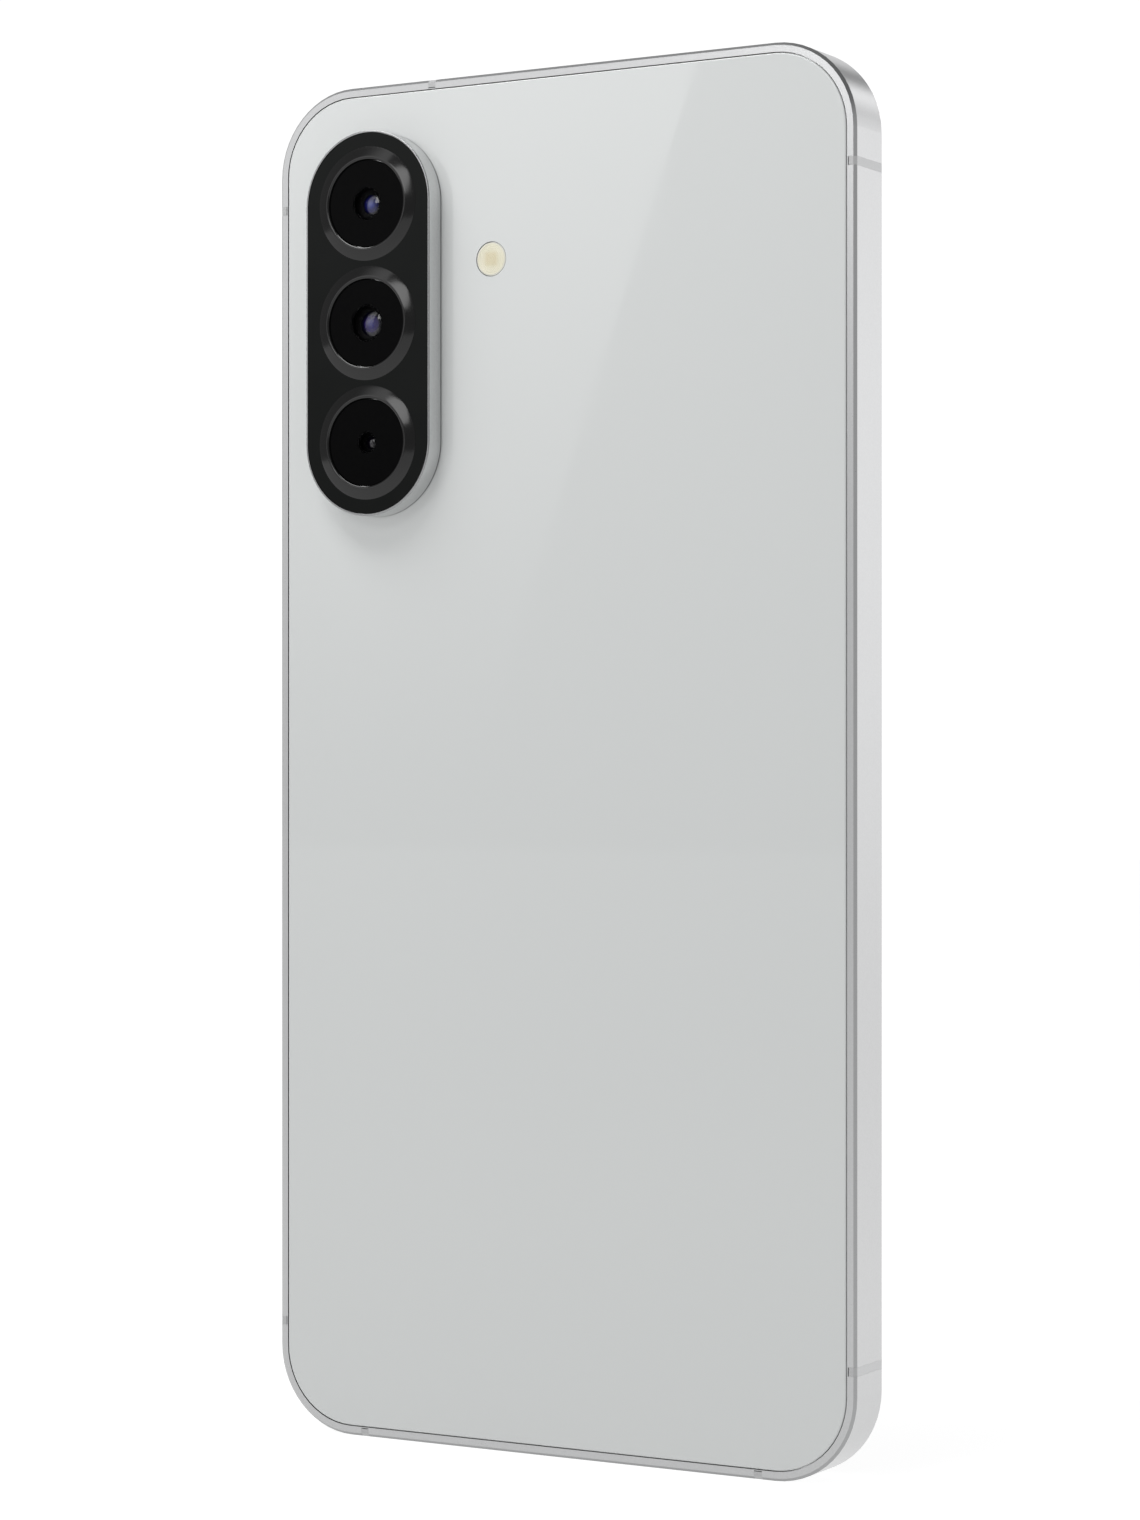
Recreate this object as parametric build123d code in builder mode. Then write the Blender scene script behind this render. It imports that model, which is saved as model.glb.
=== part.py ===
"""A glass-backed smartphone, standing on its bottom edge: X across the screen, +Z up, screen towards -Y.

The origin is the middle of the bottom edge. All sizes are in millimetres. Every piece is a separate solid and
is written to parts/NAME.step. Depths (Y) run from the screen's face at -3.7 to the back glass at +3.7.
"""

from build123d import *
import os

# ---------------------------------------------------------------- driving sizes
HEIGHT, WIDTH, THICK = 162.2, 77.5, 7.4
CORNER_R = 10.2  # outer corner of the frame, seen from the front
MID_Z = HEIGHT / 2
HALF_W = WIDTH / 2
FRONT_Y, BACK_Y = -THICK / 2, THICK / 2

GLASS_T = 0.65  # both cover glasses
GAP = 0.1  # between a glass edge and the frame round it
FRONT_RIM, BACK_RIM = 0.2, 0.08  # how far each glass stands proud of the frame's rim
FRONT_INSET, BACK_INSET = 0.9, 1.1  # frame rim beside each glass
RIM_CHAMFER, FRONT_ROUND = 0.34, 0.5  # outer edges of the frame, at the back and at the front
SEAL_T = 0.15  # adhesive under each glass
WALL = 2.3  # side wall of the frame
PLATE_FRONT, PLATE_BACK = -2.2, -1.5  # middle plate of the frame
FRAME_FRONT, FRAME_BACK = FRONT_Y + FRONT_RIM, BACK_Y - BACK_RIM
SCREEN_LEDGE = FRONT_Y + GLASS_T + SEAL_T  # ledges that the two glasses are glued to
GLASS_LEDGE = BACK_Y - GLASS_T - SEAL_T
PANEL_EDGE = FRONT_INSET + 1.2  # recess for the display panel, from the frame's side
PANEL_T = 0.6

# camera island: a pill of three lenses, one above another
ISLAND_X, ISLAND_Z = 24.35, 133.4
LENS_PITCH = 14.25
RING_R, DECK_R = 8.75, 8.5  # metal ring, and the dark deck inside it
RING_TOP, RING_FLOOR, RING_ROOF = BACK_Y + 2.7, BACK_Y + 2.05, BACK_Y + 1.35
DECK_TOP, DECK_T = BACK_Y + 2.67, 0.55
BEZEL_R, WINDOW_R, BEZEL_TOP = 6.8, 5.2, BACK_Y + 3.1
UPPER, MIDDLE, LOWER = (ISLAND_Z + LENS_PITCH, ISLAND_Z, ISLAND_Z - LENS_PITCH)
# each camera: height of its axis, side of its body, radius of its barrel, radius of its front glass
ULTRAWIDE, MAIN, MACRO = (UPPER, 9.5, 3.6, 1.9), (MIDDLE, 11.0, 4.1, 2.4), (LOWER, 7.0, 2.6, 1.2)
CAMERAS = (ULTRAWIDE, MAIN, MACRO)
CAMERA_FRONT, CAMERA_BACK, BARREL_BACK = -1.4, 2.45, BACK_Y + 1.7

FLASH_X, FLASH_Z, FLASH_R = 8.7, 140.3, 2.0
FRONT_CAMERA_Z = HEIGHT - 7.0

# side keys, in the wall at +X
KEY_H, KEY_PROUD = 2.4, 0.3
KEY_FLOOR, KEY_BOTTOM = HALF_W - 1.2, HALF_W - 0.9  # floor of each pocket, underside of each key
POWER_Z, POWER_L = 95.0, 12.0
VOLUME_Z, VOLUME_L, VOLUME_STEM = 118.0, 22.4, 7.5
STEM_R, STEM_HOLE_R, STEM_TIP = 0.75, 0.95, HALF_W - 2.55
STEMS_Z = (POWER_Z, VOLUME_Z - VOLUME_STEM, VOLUME_Z + VOLUME_STEM)

# SIM tray in the top edge, with its eject rod and lever
TRAY_X, TRAY_Y, TRAY_W, TRAY_L, TRAY_T = -18.0, 1.45, 14.8, 26.0, 1.1
HEAD_X, HEAD_W, HEAD_H, HEAD_L = -19.6, 19.2, 1.9, 1.5
ROD_X, ROD_R = -27.6, 0.4
TRAY_FOOT = HEIGHT - HEAD_L - TRAY_L
LEVER_X, LEVER_Z, LEVER_H = -23.5, 132.35, 1.1

# USB-C port in the bottom edge
USB_Y, USB_W, USB_H, USB_WALL, USB_MOUTH, USB_END = 0.2, 8.94, 3.16, 0.3, 0.3, 8.6

# inside
BOARD_FRONT, BOARD_BACK = -0.2, 0.6
COVER_FRONT, COVER_BACK = 2.3, 2.8
BATTERY_W, BATTERY_L, BATTERY_Z = 66.0, 84.0, 68.2
UPPER_SCREWS = [(-33.0, 118.0), (-33.0, 131.0), (-6.4, 155.2), (10.8, 117.0), (10.8, 150.5)]
LOWER_SCREWS = [(-33.8, 22.6), (-21.9, 4.8), (8.2, 22.8), (33.8, 22.6)]
SCREWS = UPPER_SCREWS + LOWER_SCREWS
POST_R, POST_TOP, PILOT_R, SCREW_R, SCREW_HEAD_R = 1.5, COVER_FRONT - 0.02, 0.62, 0.6, 1.15
HAPTIC_X, HAPTIC_Z, HAPTIC_SIZE = -28.0, 13.5, (12.0, 3.0, 8.0)
SPEAKER_HOLES_X = [11.6 + 2.0 * i for i in range(6)]
TOP_MIC_X, BOTTOM_MIC_X = 6.5, -9.5
BREAK_W, BREAK_DEEP = 1.0, 1.0  # antenna breaks
BREAKS_Z = (13.1, 148.1)
TOP_BREAK_X, BOTTOM_BREAK_X = 17.0, 26.5  # one in the top edge, one each side of the bottom edge
EDGE_BREAKS = ((TOP_BREAK_X, 0, HEIGHT), (BOTTOM_BREAK_X, 0, 0), (-BOTTOM_BREAK_X, 0, 0))

os.makedirs("parts", exist_ok=True)


# ---------------------------------------------------------------- helpers
def level(y):
    """The plane across the phone at depth y. Its local axes are X and Z; extruding goes towards the screen."""
    return Plane(origin=(0, y, 0), x_dir=(1, 0, 0), z_dir=(0, -1, 0))


def outline(inset, mode=Mode.ADD):
    """The phone's outline, set in by inset all round."""
    with Locations((0, MID_Z)):
        RectangleRounded(WIDTH - 2 * inset, HEIGHT - 2 * inset, CORNER_R - inset, mode=mode)


def island(radius, mode=Mode.ADD):
    """The camera island's pill outline."""
    with Locations((ISLAND_X, ISLAND_Z)):
        SlotCenterToCenter(2 * LENS_PITCH, 2 * radius, rotation=90, mode=mode)


def box_between(x0, x1, y0, y1, z0, z1, mode=Mode.ADD):
    """A plain block between two corners."""
    with Locations(((x0 + x1) / 2, (y0 + y1) / 2, (z0 + z1) / 2)):
        Box(x1 - x0, y1 - y0, z1 - z0, mode=mode)


def round_y(x, z, radius, y0, y1, mode=Mode.ADD):
    """A cylinder along Y, centred on (x, z), between two depths."""
    with Locations((x, (y0 + y1) / 2, z)):
        Cylinder(radius, y1 - y0, rotation=(90, 0, 0), mode=mode)


def across(x, z):
    """The plane through a lens axis at (x, z): its local x is the radius and its local y is the depth."""
    return Plane(origin=(x, 0, z), x_dir=(1, 0, 0), z_dir=(0, 0, 1))


def lens_axis(z):
    """The axis of one lens of the island."""
    return Axis((ISLAND_X, 0, z), (0, 1, 0))


def save(builder, name):
    """Labels a finished piece and writes it as its own STEP file."""
    builder.part.label = name
    export_step(builder.part, f"parts/{name}.step")


# ---------------------------------------------------------------- frame and its plastic antenna breaks
with BuildPart() as frame:
    with BuildSketch(level(FRAME_BACK)):
        outline(0)
    extrude(amount=FRAME_BACK - FRAME_FRONT)
    chamfer(frame.faces().sort_by(Axis.Y)[-1].edges(), RIM_CHAMFER)
    fillet(frame.faces().sort_by(Axis.Y)[0].edges(), FRONT_ROUND)
    with BuildSketch(level(FRAME_BACK)):  # pocket for the back glass
        outline(BACK_INSET)
    extrude(amount=FRAME_BACK - GLASS_LEDGE, mode=Mode.SUBTRACT)
    with BuildSketch(level(GLASS_LEDGE)):  # room for the battery and the boards
        outline(WALL)
    extrude(amount=GLASS_LEDGE - PLATE_BACK, mode=Mode.SUBTRACT)
    with BuildSketch(level(SCREEN_LEDGE)):  # pocket for the screen's glass
        outline(FRONT_INSET)
    extrude(amount=SCREEN_LEDGE - FRAME_FRONT, mode=Mode.SUBTRACT)
    with BuildSketch(level(PLATE_FRONT)):  # and for the panel behind it
        outline(PANEL_EDGE)
    extrude(amount=PLATE_FRONT - SCREEN_LEDGE, mode=Mode.SUBTRACT)
    with BuildSketch(level(PLATE_BACK)):  # windows in the middle plate
        with Locations((0, FRONT_CAMERA_Z)):
            Circle(2.6)
        with Locations((-4.5, 23.0)):
            RectangleRounded(16, 2.6, 0.6)
        with Locations((0, 34)):
            RectangleRounded(9.0, 9.0, 0.8)
    extrude(amount=PLATE_BACK - PLATE_FRONT, mode=Mode.SUBTRACT)
    with BuildSketch(level(PLATE_BACK)):  # sound channel of the earpiece
        with Locations((0, HEIGHT - 2.4)):
            RectangleRounded(9, 2.4, 0.5)
    extrude(amount=PLATE_BACK - SCREEN_LEDGE, mode=Mode.SUBTRACT)
    for z, length in ((POWER_Z, POWER_L), (VOLUME_Z, VOLUME_L)):  # pockets for the keys
        with BuildSketch(Plane.YZ.offset(KEY_FLOOR)):
            with Locations((0, z)):
                SlotOverall(length + 0.4, KEY_H + 0.16, rotation=90)
        extrude(amount=HALF_W + 0.1 - KEY_FLOOR, mode=Mode.SUBTRACT)
    with BuildSketch(Plane.YZ.offset(KEY_FLOOR + 0.1)):
        with Locations(*[(0, z) for z in STEMS_Z]):
            Circle(STEM_HOLE_R)
    extrude(amount=-1.8, mode=Mode.SUBTRACT)
    with BuildSketch(Plane.XY.offset(HEIGHT + 0.1)):  # slot for the head of the SIM tray
        with Locations((HEAD_X, TRAY_Y)):
            SlotOverall(HEAD_W + 0.2, HEAD_H + 0.2)
    extrude(amount=-(HEAD_L + 0.2), mode=Mode.SUBTRACT)
    with BuildSketch(Plane.XY.offset(HEIGHT)):  # its body, the eject pin and the top microphone
        with Locations((TRAY_X, TRAY_Y)):
            Rectangle(TRAY_W + 0.3, TRAY_T + 0.2)
        with Locations((ROD_X, TRAY_Y), (TOP_MIC_X, 0.4)):
            Circle(0.5)
    extrude(amount=-WALL - 0.1, mode=Mode.SUBTRACT)
    with BuildSketch(Plane.XY):  # port, loudspeaker and microphone holes in the bottom edge
        with Locations((0, USB_Y)):
            SlotOverall(USB_W + 0.12, USB_H + 0.12)
        with Locations(*[(x, USB_Y) for x in SPEAKER_HOLES_X]):
            Circle(0.6)
        with Locations((BOTTOM_MIC_X, USB_Y)):
            Circle(0.5)
    extrude(amount=WALL + 0.1, mode=Mode.SUBTRACT)
    with BuildSketch(level(POST_TOP)):  # posts for the cover screws
        with Locations(*SCREWS):
            Circle(POST_R)
    extrude(amount=POST_TOP - PLATE_BACK)
    with BuildSketch(level(POST_TOP)):
        with Locations(*SCREWS):
            Circle(PILOT_R)
    extrude(amount=2.4, mode=Mode.SUBTRACT)
    with Locations(*[(side * HALF_W, 0, z) for side in (-1, 1) for z in BREAKS_Z]):
        Box(2 * BREAK_DEEP, THICK + 1, BREAK_W, mode=Mode.SUBTRACT)
    with Locations(*EDGE_BREAKS):
        Box(BREAK_W, THICK + 1, 2 * BREAK_DEEP, mode=Mode.SUBTRACT)
save(frame, "frame")

with BuildPart() as antenna_breaks:
    with BuildSketch(level(FRAME_BACK)):
        outline(0)
    extrude(amount=FRAME_BACK - FRAME_FRONT)
    chamfer(antenna_breaks.faces().sort_by(Axis.Y)[-1].edges(), RIM_CHAMFER)
    fillet(antenna_breaks.faces().sort_by(Axis.Y)[0].edges(), FRONT_ROUND)
    with BuildSketch(level(FRAME_BACK)):
        outline(BREAK_DEEP - 0.1)
    extrude(amount=FRAME_BACK - FRAME_FRONT, mode=Mode.SUBTRACT)
    with BuildPart(mode=Mode.INTERSECT):
        with Locations(*[(side * HALF_W, 0, z) for side in (-1, 1) for z in BREAKS_Z]):
            Box(2 * BREAK_DEEP, THICK, BREAK_W - 0.02)
        with Locations(*EDGE_BREAKS):
            Box(BREAK_W - 0.02, THICK, 2 * BREAK_DEEP)
save(antenna_breaks, "antenna_breaks")

# ---------------------------------------------------------------- screen side
with BuildPart() as screen_glass:
    with BuildSketch(level(FRONT_Y + GLASS_T)):
        outline(FRONT_INSET + GAP)
    extrude(amount=GLASS_T)
    fillet(screen_glass.faces().sort_by(Axis.Y)[0].edges(), 0.4)
    with Locations((0, FRONT_Y, HEIGHT - FRONT_INSET - GAP)):  # notch for the earpiece
        Box(10, 4 * GLASS_T, 1.0, mode=Mode.SUBTRACT)
save(screen_glass, "screen_glass")

with BuildPart() as earpiece_mesh:
    with BuildSketch(level(SCREEN_LEDGE - 0.2)):
        with Locations((0, HEIGHT - FRONT_INSET - 0.32)):
            SlotOverall(9.8, 0.5)
    extrude(amount=0.25)
save(earpiece_mesh, "earpiece_mesh")

with BuildPart() as screen_adhesive:
    with BuildSketch(level(SCREEN_LEDGE - 0.01)):
        outline(FRONT_INSET + GAP)
        outline(PANEL_EDGE, Mode.SUBTRACT)
        with Locations((0, HEIGHT - 1.5)):
            Rectangle(11, 2.4, mode=Mode.SUBTRACT)
    extrude(amount=SEAL_T - 0.02)
save(screen_adhesive, "screen_adhesive")

with BuildPart() as display_panel:
    with BuildSketch(level(FRONT_Y + GLASS_T + PANEL_T)):
        outline(PANEL_EDGE + 0.1)
        with Locations((0, FRONT_CAMERA_Z)):
            Circle(1.7, mode=Mode.SUBTRACT)
        with Locations((0, HEIGHT - 2.4)):
            Rectangle(11, 3.0, mode=Mode.SUBTRACT)
    extrude(amount=PANEL_T - 0.01)
save(display_panel, "display_panel")

with BuildPart() as display_backing:
    with BuildSketch(level(PLATE_FRONT - 0.05)):
        outline(PANEL_EDGE + 0.4)
        with Locations((0, FRONT_CAMERA_Z)):
            Circle(3.0, mode=Mode.SUBTRACT)
        with Locations((0, HEIGHT - 2.4)):
            Rectangle(11, 3.4, mode=Mode.SUBTRACT)
        with Locations((0, 34)):
            RectangleRounded(9.2, 9.2, 0.8, mode=Mode.SUBTRACT)
        with Locations((-4.5, 23.0)):
            RectangleRounded(16, 2.6, 0.6, mode=Mode.SUBTRACT)
    extrude(amount=0.18)
save(display_backing, "display_backing")

with BuildPart() as fingerprint_sensor:
    box_between(-4.2, 4.2, -2.42, PLATE_BACK - 0.05, 29.8, 38.2)
    fillet(fingerprint_sensor.edges().filter_by(Axis.Y), 0.6)
save(fingerprint_sensor, "fingerprint_sensor")

with BuildPart() as front_camera:
    box_between(-2.9, 2.9, -1.4, 1.9, FRONT_CAMERA_Z - 2.9, FRONT_CAMERA_Z + 2.9)
    fillet(front_camera.edges().filter_by(Axis.Y), 0.5)
    round_y(0, FRONT_CAMERA_Z, 2.4, -2.3, -1.3)
    round_y(0, FRONT_CAMERA_Z, 1.4, -2.9, -2.2)
    round_y(0, FRONT_CAMERA_Z, 0.9, -2.95, -2.7, Mode.SUBTRACT)
save(front_camera, "front_camera")

# ---------------------------------------------------------------- back glass
with BuildPart() as back_glass:
    with BuildSketch(level(BACK_Y)):
        outline(BACK_INSET + GAP)
    extrude(amount=GLASS_T)
    fillet(back_glass.faces().sort_by(Axis.Y)[-1].edges(), 0.2)
    with BuildSketch(level(BACK_Y)):
        island(RING_R - 0.25)
        with Locations((FLASH_X, FLASH_Z)):
            Circle(FLASH_R + 0.06)
    extrude(amount=GLASS_T, mode=Mode.SUBTRACT)
save(back_glass, "back_glass")

with BuildPart() as back_adhesive:
    with BuildSketch(level(BACK_Y - GLASS_T - 0.01)):
        outline(BACK_INSET + GAP)
        outline(WALL + 0.4, Mode.SUBTRACT)
    extrude(amount=SEAL_T - 0.02)
save(back_adhesive, "back_adhesive")

with BuildPart() as heat_sheet:
    with BuildSketch(level(BACK_Y - GLASS_T - 0.01)):
        outline(WALL + 3)
        island(RING_R + 0.6, Mode.SUBTRACT)
        with Locations((ISLAND_X + 6, ISLAND_Z)):
            Rectangle(16, 2 * LENS_PITCH + 19, mode=Mode.SUBTRACT)
        with Locations((FLASH_X, FLASH_Z)):
            Circle(FLASH_R + 1.2, mode=Mode.SUBTRACT)
    extrude(amount=0.09)
save(heat_sheet, "heat_sheet")

with BuildPart() as flash_window:
    round_y(FLASH_X, FLASH_Z, FLASH_R, BACK_Y - 0.7, BACK_Y - 0.02)
    fillet(flash_window.edges().filter_by(GeomType.CIRCLE).sort_by(Axis.Y)[-1], 0.1)
save(flash_window, "flash_window")

with BuildPart() as flash_led:
    box_between(FLASH_X - 1.6, FLASH_X + 1.6, BOARD_BACK + 0.01, 2.6, FLASH_Z - 1.6, FLASH_Z + 1.6)
    box_between(FLASH_X - 0.7, FLASH_X + 0.7, 2.5, 2.85, FLASH_Z - 0.7, FLASH_Z + 0.7)
save(flash_led, "flash_led")

# ---------------------------------------------------------------- camera island
with BuildPart() as island_ring:
    with BuildSketch(level(RING_TOP)):
        island(RING_R)
    extrude(amount=RING_TOP - BACK_Y - 0.02)
    fillet(island_ring.faces().sort_by(Axis.Y)[-1].edges(), 0.12)
    with BuildSketch(level(RING_TOP)):
        island(DECK_R + 0.03)
    extrude(amount=RING_TOP - RING_FLOOR, mode=Mode.SUBTRACT)
    with BuildSketch(level(BACK_Y + 0.02)):  # skirt that locates it in the back glass
        island(RING_R - 0.35)
    extrude(amount=0.6)
    with BuildSketch(level(RING_ROOF)):  # hollow under its floor, open to the inside of the phone
        island(RING_R - 1.1)
    extrude(amount=RING_ROOF - BACK_Y + 0.58, mode=Mode.SUBTRACT)
    for z, _, barrel_r, _ in CAMERAS:
        round_y(ISLAND_X, z, barrel_r + 0.3, BACK_Y - 1, RING_TOP, Mode.SUBTRACT)
save(island_ring, "island_ring")

with BuildPart() as deck_adhesive:
    with BuildSketch(level(DECK_TOP - DECK_T - 0.01)):
        island(DECK_R - 0.2)
        with Locations(*[(ISLAND_X, z) for z in (UPPER, MIDDLE, LOWER)]):
            Circle(BEZEL_R - 1.2, mode=Mode.SUBTRACT)
    extrude(amount=DECK_TOP - DECK_T - RING_FLOOR - 0.02)
save(deck_adhesive, "deck_adhesive")

with BuildPart() as island_deck:
    with BuildSketch(level(DECK_TOP)):
        island(DECK_R)
    extrude(amount=DECK_T)
    fillet(island_deck.faces().sort_by(Axis.Y)[-1].edges(), 0.06)
    with BuildSketch(level(DECK_TOP)):
        with Locations(*[(ISLAND_X, z) for z in (UPPER, MIDDLE, LOWER)]):
            Circle(WINDOW_R + 0.35)
    extrude(amount=DECK_T, mode=Mode.SUBTRACT)
save(island_deck, "island_deck")

with BuildPart() as lens_bezels:
    for z in (UPPER, MIDDLE, LOWER):
        with BuildSketch(across(ISLAND_X, z)):
            with BuildLine():
                Polyline((WINDOW_R + 0.04, BEZEL_TOP - 0.14), (WINDOW_R + 0.04, DECK_TOP - 0.48),
                         (WINDOW_R + 0.31, DECK_TOP - 0.48), (WINDOW_R + 0.31, DECK_TOP + 0.01),
                         (BEZEL_R, DECK_TOP + 0.01), (BEZEL_R, DECK_TOP + 0.04))
                ThreePointArc((BEZEL_R, DECK_TOP + 0.04), (BEZEL_R - 0.55, BEZEL_TOP - 0.06),
                              (BEZEL_R - 1.1, BEZEL_TOP))
                Polyline((BEZEL_R - 1.1, BEZEL_TOP), (WINDOW_R + 0.2, BEZEL_TOP),
                         (WINDOW_R + 0.04, BEZEL_TOP - 0.14))
            make_face()
        revolve(axis=lens_axis(z))
save(lens_bezels, "lens_bezels")

with BuildPart() as lens_windows:
    for z in (UPPER, MIDDLE, LOWER):
        round_y(ISLAND_X, z, WINDOW_R, DECK_TOP - 0.4, DECK_TOP + 0.14)
save(lens_windows, "lens_windows")

# ---------------------------------------------------------------- rear cameras
with BuildPart() as ultrawide_camera:
    z, side, barrel_r, glass_r = ULTRAWIDE
    box_between(ISLAND_X - side / 2, ISLAND_X + side / 2, CAMERA_FRONT, CAMERA_BACK, z - side / 2, z + side / 2)
    fillet(ultrawide_camera.edges().filter_by(Axis.Y), 0.5)
    round_y(ISLAND_X, z, barrel_r, CAMERA_BACK - 0.5, BARREL_BACK)
    fillet(ultrawide_camera.edges().filter_by(GeomType.CIRCLE).sort_by(Axis.Y)[-1], 0.3)
    round_y(ISLAND_X, z, glass_r + 0.02, BARREL_BACK - 0.8, BARREL_BACK + 0.1, Mode.SUBTRACT)
save(ultrawide_camera, "ultrawide_camera")

with BuildPart() as macro_camera:
    z, side, barrel_r, glass_r = MACRO
    box_between(ISLAND_X - side / 2, ISLAND_X + side / 2, CAMERA_FRONT, CAMERA_BACK, z - side / 2, z + side / 2)
    fillet(macro_camera.edges().filter_by(Axis.Y), 0.5)
    round_y(ISLAND_X, z, barrel_r, CAMERA_BACK - 0.5, BARREL_BACK)
    fillet(macro_camera.edges().filter_by(GeomType.CIRCLE).sort_by(Axis.Y)[-1], 0.3)
    round_y(ISLAND_X, z, glass_r + 0.02, BARREL_BACK - 0.8, BARREL_BACK + 0.1, Mode.SUBTRACT)
save(macro_camera, "macro_camera")

with BuildPart() as main_camera:
    z, side, barrel_r, glass_r = MAIN
    box_between(ISLAND_X - side / 2, ISLAND_X + side / 2, CAMERA_FRONT, CAMERA_BACK, z - side / 2, z + side / 2)
    fillet(main_camera.edges().filter_by(Axis.Y), 0.5)
    round_y(ISLAND_X, z, barrel_r + 0.08, -0.5, CAMERA_BACK, Mode.SUBTRACT)
save(main_camera, "main_camera")

with BuildPart() as main_lens_barrel:
    z, side, barrel_r, glass_r = MAIN
    round_y(ISLAND_X, z, barrel_r, -0.3, BARREL_BACK)
    fillet(main_lens_barrel.edges().filter_by(GeomType.CIRCLE).sort_by(Axis.Y)[-1], 0.3)
    round_y(ISLAND_X, z, glass_r + 0.02, BARREL_BACK - 0.8, BARREL_BACK + 0.1, Mode.SUBTRACT)
save(main_lens_barrel, "main_lens_barrel")


def dome_profile(radius, base, edge, top):
    """Half of the section of a round disc with a domed top, for turning about its local y axis."""
    sag = top - edge
    dome_r = (radius**2 + sag**2) / (2 * sag)
    middle = top - dome_r + (dome_r**2 - radius**2 / 4) ** 0.5
    Polyline((0, top), (0, base), (radius, base), (radius, edge))
    ThreePointArc((radius, edge), (radius / 2, middle), (0, top))


with BuildPart() as lens_glasses:
    for z, _, _, glass_r in (ULTRAWIDE, MACRO):
        with BuildSketch(across(ISLAND_X, z)):
            with BuildLine():
                dome_profile(glass_r, BARREL_BACK - 0.78, BARREL_BACK - 0.4, BARREL_BACK - 0.1)
            make_face()
        revolve(axis=lens_axis(z))
save(lens_glasses, "lens_glasses")

with BuildPart() as main_lens_glass:
    with BuildSketch(across(ISLAND_X, MIDDLE)):
        with BuildLine():
            dome_profile(MAIN[3], BARREL_BACK - 0.78, BARREL_BACK - 0.4, BARREL_BACK - 0.1)
        make_face()
    revolve(axis=lens_axis(MIDDLE))
save(main_lens_glass, "main_lens_glass")

with BuildPart() as camera_bracket:
    with BuildSketch(level(CAMERA_BACK + 0.25)):
        island(RING_R - 1.0)
        for z, _, barrel_r, _ in CAMERAS:
            with Locations((ISLAND_X, z)):
                Circle(barrel_r + 0.5, mode=Mode.SUBTRACT)
    extrude(amount=0.2)
save(camera_bracket, "camera_bracket")

# ---------------------------------------------------------------- main board
with BuildPart() as main_board:
    with BuildSketch(level(BOARD_BACK)):
        outline(WALL + 0.5)
        with Locations((-0.7, 136.0)):
            Rectangle(70.2, 46.8, mode=Mode.INTERSECT)
        with Locations((26.7, 133.6)):  # bay of the rear cameras
            Rectangle(17.0, 42.0, mode=Mode.SUBTRACT)
        with Locations((0, FRONT_CAMERA_Z)):
            Rectangle(6.4, 6.4, mode=Mode.SUBTRACT)
        with Locations((9.4, 156.6)):  # bay of the earpiece's speaker
            Rectangle(12.8, 7.2, mode=Mode.SUBTRACT)
        with Locations(*UPPER_SCREWS):
            Circle(POST_R + 0.2, mode=Mode.SUBTRACT)
    extrude(amount=BOARD_BACK - BOARD_FRONT)
save(main_board, "main_board")


def shield(x0, x1, y0, y1, z0, z1, open_y):
    """A pressed can over a group of chips, open on the side that the board closes."""
    box_between(x0, x1, y0, y1, z0, z1)
    low, high = (y0 + 0.15, y1 + 1) if open_y > 0 else (y0 - 1, y1 - 0.15)
    box_between(x0 + 0.15, x1 - 0.15, low, high, z0 + 0.15, z1 - 0.15, Mode.SUBTRACT)


with BuildPart() as front_shields:
    shield(-4.0, 16.5, -1.35, BOARD_FRONT - 0.01, 119.5, 148.3, 1)
    shield(-29.5, -8.0, -1.35, BOARD_FRONT - 0.01, 115.0, 134.0, 1)
save(front_shields, "front_shields")

with BuildPart() as back_shield:
    shield(-7.5, 16.5, BOARD_BACK + 0.01, 2.1, 119.5, 135.5, -1)
save(back_shield, "back_shield")

with BuildPart() as processor:
    box_between(-1.0, 13.5, -1.15, BOARD_FRONT - 0.01, 132.5, 147.0)
save(processor, "processor")

with BuildPart() as board_chips:  # memory, power and radio chips, from the front of the board to its back
    box_between(0.5, 12.0, -1.1, BOARD_FRONT - 0.01, 120.8, 131.5)
    for x, z, size in ((-23.7, 120.7, 6.5), (-15.5, 121.0, 5.0), (-22.3, 129.3, 5.0)):
        box_between(x - size / 2, x + size / 2, -0.95, BOARD_FRONT - 0.01, z - size / 2, z + size / 2)
    for x, z, size in ((-1.8, 126.5, 6.5), (7.0, 124.5, 5.0), (6.7, 131.0, 4.4)):
        box_between(x - size / 2, x + size / 2, BOARD_BACK + 0.01, 1.5, z - size / 2, z + size / 2)
save(board_chips, "board_chips")

with BuildPart() as thermal_pad:
    box_between(-2.0, 14.5, -1.48, -1.37, 131.0, 147.0)
save(thermal_pad, "thermal_pad")

with BuildPart() as board_connectors:
    for x, z, length in ((-25.5, 115.8, 8.0), (-14.0, 115.8, 8.0), (3.0, 115.8, 7.0), (-1.5, 140.5, 9.0),
                         (-1.5, 145.5, 9.0), (-14.0, 18.6, 8.0)):
        box_between(x - length / 2, x + length / 2, BOARD_BACK + 0.01, 1.3, z - 1.2, z + 1.2)
    fillet(board_connectors.edges().filter_by(Axis.Y), 0.3)
save(board_connectors, "board_connectors")

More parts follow.
